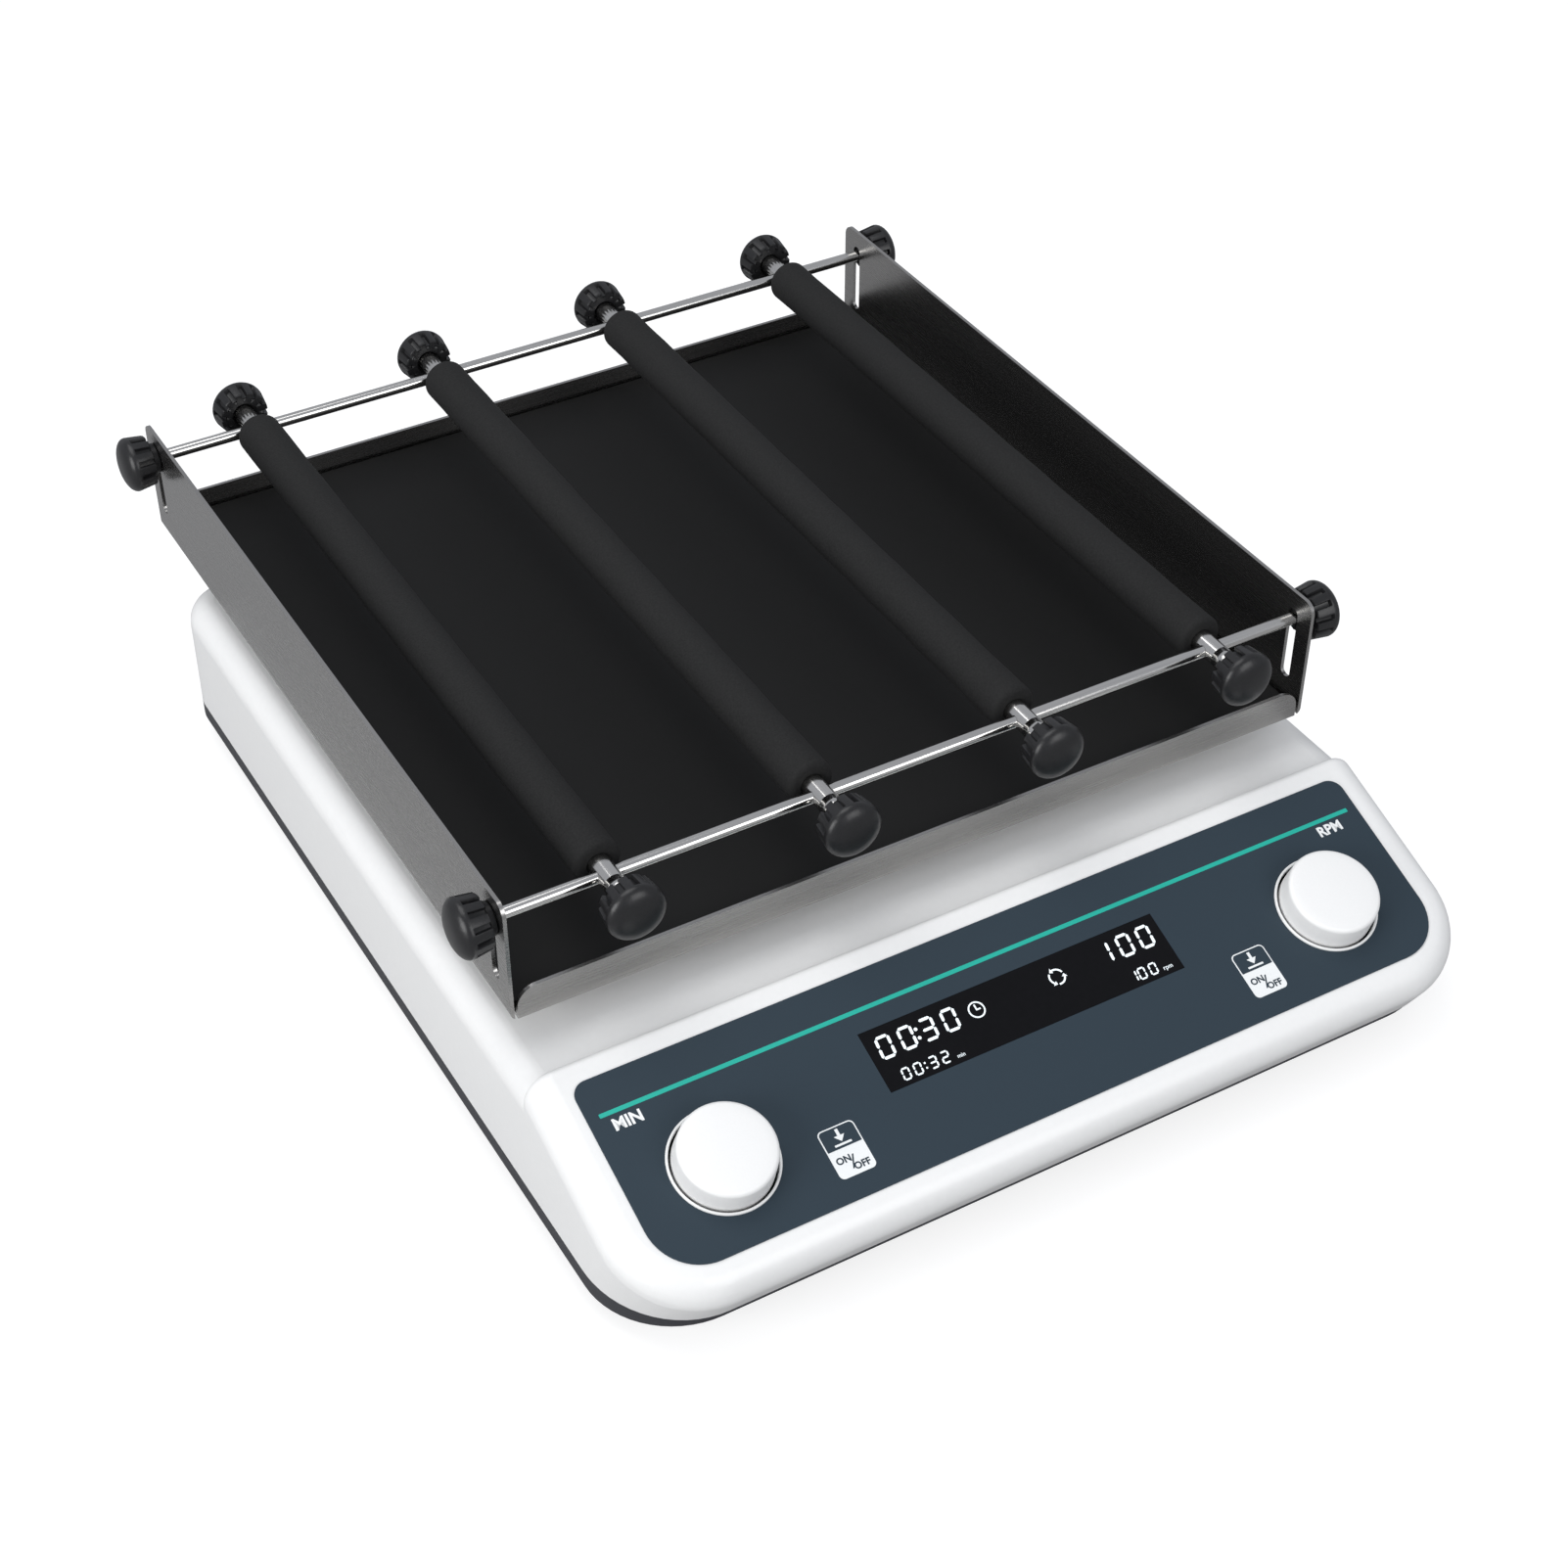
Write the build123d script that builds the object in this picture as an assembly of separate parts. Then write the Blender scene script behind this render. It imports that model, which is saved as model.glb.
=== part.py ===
"""Orbital shaker for a lab bench, with a clamp tray for flasks.

Millimetres, +Z up, the control console faces -Y. The origin is on the bench,
on the axis that the tray circles about.
"""

import os
from math import atan2, cos, radians, sin, tan

from build123d import *

os.makedirs("parts", exist_ok=True)

# Housing: outline, levels and walls
housing_width = 369.0
housing_back = 146.0
console_back = -199.5
foot_height = 10.0
base_rim = 8.5
deck_z = 70.0
ridge_z = 75.5
face_length = 104.5
face_angle = 20.0
front_undercut = 12.0
side_draft = 0.8
shell_wall = 3.0
edge_round = 11.0
ridge_round = 3.0
front_corner = 36.0
back_corner = 20.0
base_sheet = 2.0
base_setback = 4.5

# Control face, measured from the ridge down the slope
panel_width = 339.5
panel_top = 10.5
panel_bottom = 90.2
panel_top_corner = 6.0
panel_bottom_corner = 20.0
panel_thick = 0.5
knob_spread = 132.5
knob_drop = 57.8
knob_hole = 19.6
knob_gap = 0.8
knob_taper = 0.5
knob_height = 12.0
knob_sink = 1.8
knob_push = 0.8
lcd_width = 129.5
lcd_top = 33.7
lcd_bottom = 59.0
lcd_thick = 2.0
board_depth = 16.0
board_thick = 1.6
encoder_side = 14.0
encoder_shaft = 3.0

# Orbit drive
orbit_radius = 5.0
rest_angle = 240.0
idler_x = 110.0
idler_y = 85.0
frame_z = 38.0
frame_thick = 4.0
shaft_radius = 6.0
pin_radius = 5.0
run_clearance = 0.03
bearing_outer = 14.0
bearing_high = 8.0
pin_bearing_outer = 11.0
pin_bearing_high = 6.0
disc_radius = 17.0
disc_high = 4.0
deck_gap = 1.5
pulley_radius = 48.0
pulley_z = 20.0
pulley_high = 11.0
motor_y = -115.0
motor_radius = 40.0
motor_pulley_radius = 12.0
belt_thick = 2.0

# Tray and its mat
tray_width = 350.0
tray_depth = 354.0
tray_z = 84.1
tray_high = 53.4
tray_sheet = 1.5
tray_corner = 5.0
lip_high = 13.0
lip_corner = 8.0
slit = 1.2
carrier_thick = 8.0
carrier_arm = 36.0
mat_thick = 3.0
mat_margin = 1.5

# Cross rods and the slots that hold them
rod_radius = 2.5
rod_z = 125.5
rod_inset = 10.5
slot_play = 0.2
slot_drop = 28.5
slot_rise = 4.5
rod_reach = 11.0

# Clamp bars
bar_places = (-130.0, -42.5, 46.0, 133.5)
tube_radius = 4.5
tube_bore = 2.5
foam_radius = 9.5
front_reach = 6.0
back_reach = 16.5
foam_front = 6.5
foam_back = 3.0
rod_play = 0.1

# Star knobs of the bars and the rods
star_radius = 11.5
star_skirt = 8.0
star_dome = 6.0
star_hub = 2.0
star_hub_radius = 6.5
star_notches = 12
notch_wide = 2.4
notch_deep = 1.1
notch_long = 5.0
seat_gap = 0.05

# Worked out once from the sizes above
half = housing_width / 2
base_z = foot_height
shell_z = base_z + base_rim
floor_z = base_z + base_sheet
slope = radians(face_angle)
nose_y = console_back - face_length * cos(slope)
nose_z = ridge_z - face_length * sin(slope)
low_front = nose_y + front_undercut
lean = front_undercut / (nose_z - shell_z)
loft_top = ridge_z + 6
pin_dx = orbit_radius * cos(radians(rest_angle))
pin_dy = orbit_radius * sin(radians(rest_angle))
tray_top = tray_z + tray_high
floor_top = tray_z + tray_sheet
mat_top = floor_top + mat_thick
carrier_z = tray_z - carrier_thick
front_rod_y = pin_dy - tray_depth / 2 + rod_inset
back_rod_y = pin_dy + tray_depth / 2 - rod_inset
frame_top = frame_z + frame_thick
deck_under = deck_z - shell_wall
face = Plane(origin=(0, console_back, ridge_z), x_dir=(1, 0, 0), z_dir=(0, -sin(slope), cos(slope)))


def save(name, *shapes):
    """Write one node, its separate solids kept apart."""
    solids = [solid for shape in shapes for solid in shape.solids()]
    shape = solids[0] if len(solids) == 1 else Compound(children=solids)
    export_step(shape, f"parts/{name}.step")


def disc(radius, low, high, x=0.0, y=0.0):
    """Upright cylinder between two levels."""
    return Pos(x, y, (low + high) / 2) * Cylinder(radius, high - low)


def ring(outer, inner, low, high, x=0.0, y=0.0):
    return disc(outer, low, high, x, y) - disc(inner, low - 1, high + 1, x, y)


def block(x0, x1, y0, y1, z0, z1):
    centre = ((x0 + x1) / 2, (y0 + y1) / 2, (z0 + z1) / 2)
    return Pos(*centre) * Box(x1 - x0, y1 - y0, z1 - z0)


def slab(points, reach):
    """Slab across the whole width, from an outline in the YZ plane."""
    wire = Polyline(*[(0, y, z) for y, z in points], close=True)
    return extrude(make_face(wire), amount=reach, dir=(1, 0, 0), both=True)


def housing_form(inset, low):
    """Closed form of the housing, with every wall moved inwards by inset."""
    rounding = edge_round - inset
    rise = tan(slope)
    far = housing_back - inset
    back = console_back - inset
    joint = console_back - 8
    side = half - inset
    narrow = side - side_draft
    top = ridge_z + 20
    sides = make_face(Polyline(
        (-side, 0, low), (side, 0, low), (narrow, 0, top), (-narrow, 0, top), close=True))
    sides = extrude(sides, amount=housing_back - nose_y + 100, dir=(0, 1, 0), both=True)

    deck_level = deck_z - inset
    deck = slab([(joint, low), (far, low), (far, deck_level), (joint, deck_level)], half + 20) & sides
    uprights = [e for e in deck.edges() if e.center().Y > far - 0.1 and abs(e.tangent_at(0.5).Z) > 0.7]
    deck = fillet(uprights, back_corner - inset)
    rim = [e for e in deck.edges() if abs(e.center().Z - deck_level) < 0.01 and e.center().Y > joint + 0.1]
    deck = fillet(rim, rounding)

    wall_shift = inset / cos(atan2(lean, 1))
    drop = inset / cos(slope)
    high = ridge_z - drop - inset * rise
    low_y = low_front - lean * (low - shell_z) + wall_shift
    level = ((high - (back - low_y) * rise) - low) / (1 + lean * rise)
    tip = (low_y - lean * level, low + level)
    console = slab([(low_y, low), tip, (back, high), (back, low)], half + 20) & sides
    uprights = [e for e in console.edges() if e.center().Y < tip[0] + 30 and abs(e.tangent_at(0.5).Z) > 0.7
                and e.length > 5]
    console = fillet(uprights, front_corner - inset)

    def on_face(edge):
        ends = (edge.position_at(0), edge.position_at(0.5), edge.position_at(1))
        return all(abs(high - (back - p.Y) * rise - p.Z) < 0.01 for p in ends)

    rim = [e for e in console.edges() if on_face(e) and e.center().Y < back - 0.1]
    console = fillet(rim, rounding)
    if ridge_round > inset:
        ridge = [e for e in console.edges() if on_face(e) and e.center().Y > back - 0.1]
        console = fillet(ridge, ridge_round - inset)
    return deck + console


# Top housing: one moulded shell with bosses inside for its screws and the board
shell = housing_form(0.0, shell_z) - housing_form(shell_wall, shell_z - 1)
boss_places = [(x, y) for x in (-half + 15.5, half - 15.5)
               for y in (housing_back - 22, -30, console_back + 22, console_back - 46)]
inner = housing_form(shell_wall / 2, shell_z - 1)
for x, y in boss_places:
    shell += disc(5, floor_z, deck_z, x, y) & inner
    shell -= disc(1.7, floor_z - 1, floor_z + 14, x, y)
post_top, post_low = -shell_wall / 2, board_thick - board_depth
for x in (-100, -75, 75, 100):
    for y in (-38, -80):
        shell += face * Pos(x, y, (post_top + post_low) / 2) * Cylinder(3.5, post_top - post_low)
for x in (-knob_spread, knob_spread):
    shell -= face * Pos(x, -knob_drop, 0) * Cylinder(knob_hole, 8)
lcd_mid = -(lcd_top + lcd_bottom) / 2
lcd_tall = lcd_bottom - lcd_top
shell -= face * Pos(0, lcd_mid, 0) * Box(lcd_width, lcd_tall, 12)
shaft_places = [(0, 0)] + [(x, y) for y in (-idler_y, idler_y) for x in (-idler_x, idler_x)]
for x, y in shaft_places:
    shell -= disc(shaft_radius + 2.5, deck_under - 4, deck_z + 4, x, y)

# Mains inlet and switch openings in the back wall
inlet_x, switch_x, rear_z = -32.0, 32.0, 42.0
inlet_wide, inlet_tall, switch_wide, switch_tall = 28.0, 20.0, 14.0, 19.0
rocker_tilt = 10.0
shell -= block(inlet_x - inlet_wide / 2, inlet_x + inlet_wide / 2, housing_back - 9, housing_back + 5,
               rear_z - inlet_tall / 2, rear_z + inlet_tall / 2)
shell -= block(switch_x - switch_wide / 2, switch_x + switch_wide / 2, housing_back - 9, housing_back + 5,
               rear_z - switch_tall / 2, rear_z + switch_tall / 2)
save("top_housing", shell)

# Base tray: black folded sheet with an upright rim that the shell sits on
rim_front = low_front + base_setback
base = block(-half, half, rim_front, housing_back, base_z, shell_z)
inside = block(-half + base_sheet, half - base_sheet, rim_front + base_sheet, housing_back - base_sheet,
               floor_z, shell_z + 5)


def round_corners(shape, front_y, inset):
    uprights = [e for e in shape.edges().filter_by(Axis.Z) if e.center().Y < front_y + 1]
    shape = fillet(uprights, front_corner - inset)
    uprights = shape.edges().filter_by(Axis.Z).group_by(Axis.Y)[-1]
    return fillet(uprights, back_corner - inset)


base = round_corners(base, rim_front, 0)
base = chamfer(base.faces().sort_by(Axis.Z)[0].edges(), 1)
base -= round_corners(inside, rim_front + base_sheet, base_sheet)
for x, y in boss_places:
    base -= disc(2.1, base_z - 1, floor_z + 1, x, y)
for row in range(2):
    for i in range(9):
        base -= Pos(-120 + 30 * i, console_back + 28 + 14 * row, base_z + 1) * Box(20, 4, 6)
foot_places = [(x, y) for x in (-half + 36, half - 36) for y in (low_front + 44, housing_back - 36)]
for x, y in foot_places:
    base -= disc(2.1, base_z - 1, floor_z + 1, x, y)

# Rubber feet, each held by a screw from below
feet = []
for x, y in foot_places:
    profile = make_face(Polyline((0, 0), (9.5, 0), (10.5, 1), (12, foot_height), (0, foot_height), close=True))
    foot = revolve(Plane.XZ * profile, Axis.Z)
    foot -= disc(5, -1, 4)
    foot -= disc(2.1, 3, foot_height + 1)
    feet.append(Pos(x, y, 0) * foot)
save("rubber_feet", *feet)


def pan_screw(head, shank, x, y, z, length):
    """Screw with its head down at level z and its shank going up."""
    return disc(head, z, z + 2.4, x, y) + disc(shank, z + 2.4, z + 2.4 + length, x, y)


screws = [pan_screw(3.4, 1.6, x, y, base_z - 2.4, base_sheet + 12) for x, y in boss_places]
screws += [pan_screw(3.6, 2.0, x, y, 1.6, foot_height - 4 + base_sheet + 4) for x, y in foot_places]

# Chassis plate on pillars, which carries the shafts and the motor
frame_x, frame_front, frame_back = half - 24, -150.0, idler_y + 32
plate = block(-frame_x, frame_x, frame_front, frame_back, frame_z, frame_top)
plate = fillet(plate.edges().filter_by(Axis.Z), 10)
plate -= block(-62, 62, frame_back - 16, frame_back + 1, frame_z - 1, frame_top + 1)
for x, y in shaft_places:
    plate -= disc(bearing_outer + 2, frame_z - 1, frame_top + 1, x, y)
plate -= disc(motor_pulley_radius + 3, frame_z - 1, frame_top + 1, 0, motor_y)
pillar_places = [(x, y) for x in (-frame_x + 12, frame_x - 12) for y in (frame_front + 14, -30, idler_y - 5)]
for x, y in pillar_places:
    plate -= disc(2.2, frame_z - 1, frame_top + 1, x, y)
for x in (-1, 1):
    for y in (-1, 1):
        plate -= Pos(x * 72, y * 42, frame_z) * Box(40, 30, 20)
save("chassis_plate", plate)
pillars = [ring(6, 2.2, floor_z, frame_z, x, y) for x, y in pillar_places]
save("chassis_pillars", *pillars)
screws += [pan_screw(3.6, 2.0, x, y, base_z - 2.4, base_sheet + frame_z - floor_z + frame_thick)
           for x, y in pillar_places]
for x, y in pillar_places:
    base -= disc(2.2, base_z - 1, floor_z + 1, x, y)
save("base_tray", base)
save("chassis_screws", *screws)

# Bearing housings: turned cups with a flange, one for the drive and one per idler
cup_top = deck_under - 1
cups, races = [], []
for x, y in shaft_places:
    cup = ring(bearing_outer + 5, bearing_outer - 3, frame_top, cup_top, x, y)
    cup += ring(bearing_outer + 14, bearing_outer - 3, frame_top, frame_top + 4, x, y)
    for low in (frame_top, cup_top - bearing_high):
        cup -= disc(bearing_outer, low - 0.01, low + bearing_high + 0.01, x, y)
        races.append(ring(bearing_outer, shaft_radius + run_clearance, low, low + bearing_high, x, y))
    cups.append(cup)
save("bearing_housings", *cups)
save("shaft_bearings", *races)

# Eccentric drive shaft, pulley, belt, motor and counterweight
disc_low = deck_z + deck_gap
disc_top = disc_low + disc_high
pin_top = carrier_z + 0.5 + pin_bearing_high


def crank(x, y, low):
    shaft = disc(shaft_radius, low, disc_low, x, y)
    shaft += disc(disc_radius, disc_low, disc_top, x, y)
    shaft += disc(pin_radius, disc_top, pin_top, x + pin_dx, y + pin_dy)
    return shaft


eccentric = crank(0, 0, pulley_z - 3)
save("eccentric_shaft", eccentric)
pulley_top = pulley_z + pulley_high
pulley = ring(pulley_radius, shaft_radius, pulley_z, pulley_top)
pulley += ring(pulley_radius + 2.5, shaft_radius, pulley_top - 1.2, pulley_top)
pulley += ring(pulley_radius + 2.5, shaft_radius, pulley_z, pulley_z + 1.2)
for i in range(5):
    angle = 72 * i
    pulley -= disc(9, pulley_z - 1, pulley_top + 1, 27 * cos(radians(angle)), 27 * sin(radians(angle)))
save("drive_pulley", pulley)
weight_low = pulley_top + 0.5
weight_top = frame_z - 1.5
weight = disc(44, weight_low, weight_top) - block(-60, 60, 0, 60, weight_low - 1, weight_top + 1)
weight = Rot(0, 0, rest_angle - 90) * weight
weight += disc(13, weight_low, weight_top)
weight -= disc(shaft_radius, weight_low - 1, weight_top + 1)
save("counterweight", weight)

motor_low, motor_high = frame_top, deck_under - 3
motor = disc(motor_radius, motor_low, motor_high, 0, motor_y)
motor = chamfer(motor.edges().group_by(Axis.Z)[-1], 2)
motor += disc(10, frame_z + 1, motor_low, 0, motor_y)
motor -= disc(4 + run_clearance, frame_z - 1, motor_high - 3, 0, motor_y)
save("motor", motor)
rotor = disc(4, pulley_z - 1, motor_high - 4, 0, motor_y)
small = ring(motor_pulley_radius, 4, pulley_z, pulley_top, 0, motor_y)
small += ring(motor_pulley_radius + 2, 4, pulley_top - 1.2, pulley_top, 0, motor_y)
save("motor_rotor", rotor, small)


def belt_form(grow):
    """Solid inside of an open belt round both pulleys."""
    big, little, gap = pulley_radius + grow, motor_pulley_radius + grow, -motor_y
    swing = atan2((big - little) / gap, 1)
    c, s = cos(swing), sin(swing)
    hull = make_face(Polyline((big * c, -big * s), (little * c, motor_y - little * s),
                              (-little * c, motor_y - little * s), (-big * c, -big * s), close=True))
    low, high = pulley_z + 1.5, pulley_top - 1.5
    form = Pos(0, 0, low) * extrude(hull, amount=high - low)
    return form + disc(big, low, high) + disc(little, low, high, 0, motor_y)


save("drive_belt", belt_form(0.2 + belt_thick) - belt_form(0.2))

for name, (x, y) in zip(("idler_front_left", "idler_front_right", "idler_back_left", "idler_back_right"),
                        shaft_places[1:]):
    save(name, crank(x, y, frame_top + 0.5))

# Electronics: supply on the floor, board under the face, display and encoders on it
supply = block(62, 134, -62, 62, floor_z, floor_z + 20)
supply = chamfer(supply.edges().filter_by(Axis.Z), 2)
save("power_supply", supply)
board_low = -board_depth
board_top = board_low + board_thick
board = face * Pos(0, -60, (board_low + board_top) / 2) * Box(306, 52, board_thick)
save("control_board", board)
module = face * Pos(0, lcd_mid, (board_top - lcd_thick + panel_thick) / 2) * Box(
    lcd_width - 0.4, lcd_tall - 0.4, panel_thick - lcd_thick - board_top)
save("display_module", module)
window = face * Pos(0, lcd_mid, panel_thick - lcd_thick / 2) * Box(lcd_width - 0.2, lcd_tall - 0.2, lcd_thick)
save("display_window", window)


def panel_outline():
    left, right = -panel_width / 2, panel_width / 2
    sheet = Pos(0, -(panel_top + panel_bottom) / 2, panel_thick / 2) * Box(
        panel_width, panel_bottom - panel_top, panel_thick)
    upright = sheet.edges().filter_by(Axis.Z)
    middle = -(panel_top + panel_bottom) / 2
    sheet = fillet([e for e in upright if e.center().Y > middle], panel_top_corner)
    upright = [e for e in sheet.edges().filter_by(Axis.Z) if abs(abs(e.center().X) - right) < 0.01
               and e.center().Y < -panel_bottom + 1]
    return fillet(upright, panel_bottom_corner)


panel = panel_outline()
for x in (-knob_spread, knob_spread):
    panel -= Pos(x, -knob_drop, 0) * Cylinder(knob_hole, 8)
panel -= Pos(0, lcd_mid, 0) * Box(lcd_width, lcd_tall, 8)
save("control_panel", face * panel)

encoders = []
for side, word in ((-1, "time"), (1, "speed")):
    at = face * Pos(side * knob_spread, -knob_drop, 0)
    can = Pos(0, 0, board_top + 3.5) * Box(encoder_side, encoder_side, 7)
    can += Pos(0, 0, board_top + 9) * Cylinder(4.5, 4)
    can -= Pos(0, 0, board_top + 3.2) * Cylinder(5.6, 4.6)
    can -= Pos(0, 0, board_top + 7) * Cylinder(encoder_shaft + run_clearance, 12)
    encoders.append(at * can)
    hub = Pos(0, 0, board_top + 3.2) * Cylinder(5.4, 3.8) - Pos(0, 0, board_top + 3.2) * Cylinder(
        encoder_shaft + run_clearance, 8)
    save(f"{word}_encoder_rotor", at * hub)
    shaft_low = board_top + 1.0 + knob_push
    shaft = Pos(0, 0, (shaft_low + knob_height - 4) / 2) * Cylinder(encoder_shaft, knob_height - 4 - shaft_low)
    save(f"{word}_knob_shaft", at * shaft)
    wide = knob_hole - knob_gap
    skirt = make_face(Polyline((0, -knob_sink), (wide, -knob_sink), (wide - knob_taper, knob_height - 1.4),
                               (wide - knob_taper - 1.2, knob_height - 0.4), (0, knob_height), close=True))
    cap = revolve(Plane.XZ * skirt, Axis.Z)
    cap -= Pos(0, 0, (knob_height - 6) / 2 - knob_sink) * (
        Cylinder(wide - 2.5, knob_height - 6) - Cylinder(6, knob_height - 6))
    cap -= Pos(0, 0, (knob_height - 4) / 2 - 5) * Cylinder(encoder_shaft, knob_height - 4 + 10)
    save(f"{word}_knob", at * cap)
save("encoder_bodies", *encoders)

# Mains inlet and rocker switch in the back wall
inlet = block(inlet_x - inlet_wide / 2, inlet_x + inlet_wide / 2, housing_back - 26, housing_back,
              rear_z - inlet_tall / 2, rear_z + inlet_tall / 2)
inlet += block(inlet_x - inlet_wide / 2 - 8, inlet_x + inlet_wide / 2 + 8, housing_back, housing_back + 2.5,
               rear_z - inlet_tall / 2 - 2, rear_z + inlet_tall / 2 + 2)
inlet -= block(inlet_x - 12, inlet_x + 12, housing_back - 16, housing_back + 5, rear_z - 8, rear_z + 8)
for dx, dz in ((-7, -2), (0, 3), (7, -2)):
    inlet += block(inlet_x + dx - 1, inlet_x + dx + 1, housing_back - 17, housing_back - 3,
                   rear_z + dz - 2, rear_z + dz + 2)
save("mains_inlet", inlet)
frame_s = block(switch_x - switch_wide / 2, switch_x + switch_wide / 2, housing_back - 16, housing_back,
                rear_z - switch_tall / 2, rear_z + switch_tall / 2)
frame_s += block(switch_x - switch_wide / 2 - 1.5, switch_x + switch_wide / 2 + 1.5, housing_back,
                 housing_back + 1.8, rear_z - switch_tall / 2 - 1.5, rear_z + switch_tall / 2 + 1.5)
frame_s -= block(switch_x - 5, switch_x + 5, housing_back - 12, housing_back + 5, rear_z - 8, rear_z + 8)
frame_s -= Pos(switch_x, housing_back - 3.5, rear_z) * Rot(0, 90, 0) * Cylinder(1.25, 12.6)
save("switch_frame", frame_s)
pivot = Plane(origin=(switch_x, housing_back - 3.5, rear_z), x_dir=(0, 0, 1), z_dir=(-1, 0, 0))
rock = make_face(Polyline((-3.2, -3.5), (3.2, -3.5), (7.0, 3.2), (0, 4.5), (-7.0, 3.2), close=True))
rocker = extrude(rock, amount=4.7, both=True) + Cylinder(1.2, 12.4)
rocker = pivot * Rot(0, 0, rocker_tilt) * rocker
save("power_rocker", rocker)

# Carrier: ribbed plate screwed under the tray, with a ball bearing over every pin
carrier = Pos(pin_dx, pin_dy, carrier_z + carrier_thick / 2) * Box(
    2 * idler_x + carrier_arm, 2 * idler_y + carrier_arm, carrier_thick)
carrier = fillet(carrier.edges().filter_by(Axis.Z), carrier_arm / 2)
pocket_x = idler_x - carrier_arm
pocket_y = idler_y - carrier_arm
for x in (-1, 1):
    for y in (-1, 1):
        pocket = Pos(pin_dx + x * idler_x / 2, pin_dy + y * idler_y / 2, carrier_z + carrier_thick / 2) * Box(
            pocket_x, pocket_y, carrier_thick + 2)
        carrier -= fillet(pocket.edges().filter_by(Axis.Z), 8)
pin_races = []
seat_top = carrier_z + 0.5 + pin_bearing_high
for x, y in shaft_places:
    carrier -= disc(pin_bearing_outer, carrier_z - 1, seat_top, x + pin_dx, y + pin_dy)
    pin_races.append(ring(pin_bearing_outer, pin_radius + run_clearance, carrier_z + 0.5, seat_top,
                          x + pin_dx, y + pin_dy))
screw_places = [(pin_dx + x, pin_dy + y) for x in (-idler_x, idler_x) for y in (-30, 30)]
screw_places += [(pin_dx + x, pin_dy) for x in (-45, 45)]
for x, y in screw_places:
    carrier -= disc(2.5, carrier_z - 1, tray_z + 1, x, y)
save("orbit_carrier", carrier)
save("carrier_bearings", *pin_races)

# Tray: one bent stainless sheet, tall sides, low lips, slots for the cross rods
centre = Pos(pin_dx, pin_dy, 0)
side_x = tray_width / 2
end_y = tray_depth / 2
bend = 3.0
u_wire = make_face(Polyline(
    (-side_x, tray_top), (-side_x, tray_z), (side_x, tray_z), (side_x, tray_top),
    (side_x - tray_sheet, tray_top), (side_x - tray_sheet, floor_top),
    (-side_x + tray_sheet, floor_top), (-side_x + tray_sheet, tray_top), close=True))
pan = extrude(Plane.XZ * u_wire, amount=end_y, both=True)
low_edges = [e for e in pan.edges().filter_by(Axis.Y) if e.center().Z < tray_z + 0.01]
pan = fillet(low_edges, bend)
inner_edges = [e for e in pan.edges().filter_by(Axis.Y) if abs(e.center().Z - floor_top) < 0.01]
pan = fillet(inner_edges, bend - tray_sheet)
top_edges = [e for e in pan.edges().filter_by(Axis.X) if e.center().Z > tray_top - 0.01]
pan = fillet(top_edges, tray_corner)
lip_x = side_x - tray_sheet - slit
for end in (-1, 1):
    lip = Pos(0, end * (end_y - tray_sheet / 2), tray_z + lip_high / 2) * Box(2 * lip_x, tray_sheet, lip_high)
    lip = fillet([e for e in lip.edges().filter_by(Axis.Y) if e.center().Z > tray_z + lip_high - 0.01], lip_corner)
    pan += lip
    for side in (-1, 1):
        pan -= Pos(side * (side_x - tray_sheet - slit / 2), end * end_y, floor_top) * Box(slit, 8, 8)
slot_half = rod_radius + slot_play
slot_low = rod_z - slot_drop + slot_half
slot_high = rod_z + slot_rise - slot_half
for end in (-1, 1):
    y = end * (end_y - rod_inset)
    slot = Pos(0, y, (slot_low + slot_high) / 2) * Box(tray_width + 10, 2 * slot_half, slot_high - slot_low)
    for z in (slot_low, slot_high):
        slot += Pos(0, y, z) * Rot(0, 90, 0) * Cylinder(slot_half, tray_width + 10)
    pan -= slot
for x, y in screw_places:
    pan -= Pos(-pin_dx, -pin_dy, 0) * disc(2.6, tray_z - 1, floor_top + 1, x, y)
save("tray_pan", centre * pan)
tray_screws = []
for x, y in screw_places:
    tray_screws.append(disc(2.45, tray_z - 7, floor_top, x, y) + disc(5, floor_top, floor_top + 1.2, x, y))
save("tray_screws", *tray_screws)
mat_x = side_x - tray_sheet - mat_margin
mat_y = end_y - tray_sheet - mat_margin
mat = block(-mat_x, mat_x, -mat_y, mat_y, floor_top, mat_top)
mat = fillet(mat.edges().filter_by(Axis.Z), 4)
mat = centre * mat
for x, y in screw_places:
    mat -= disc(5.2, floor_top - 0.5, floor_top + 1.4, x, y)
save("tray_mat", mat)

# Cross rods, through the slots and into the corner knobs
rod_half = side_x + rod_reach
for name, y in (("front_cross_rod", front_rod_y), ("back_cross_rod", back_rod_y)):
    rod = Pos(pin_dx, y, rod_z) * Rot(0, 90, 0) * Cylinder(rod_radius, 2 * rod_half)
    rod = chamfer(rod.edges().filter_by(GeomType.CIRCLE), 0.5)
    save(name, rod)


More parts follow.
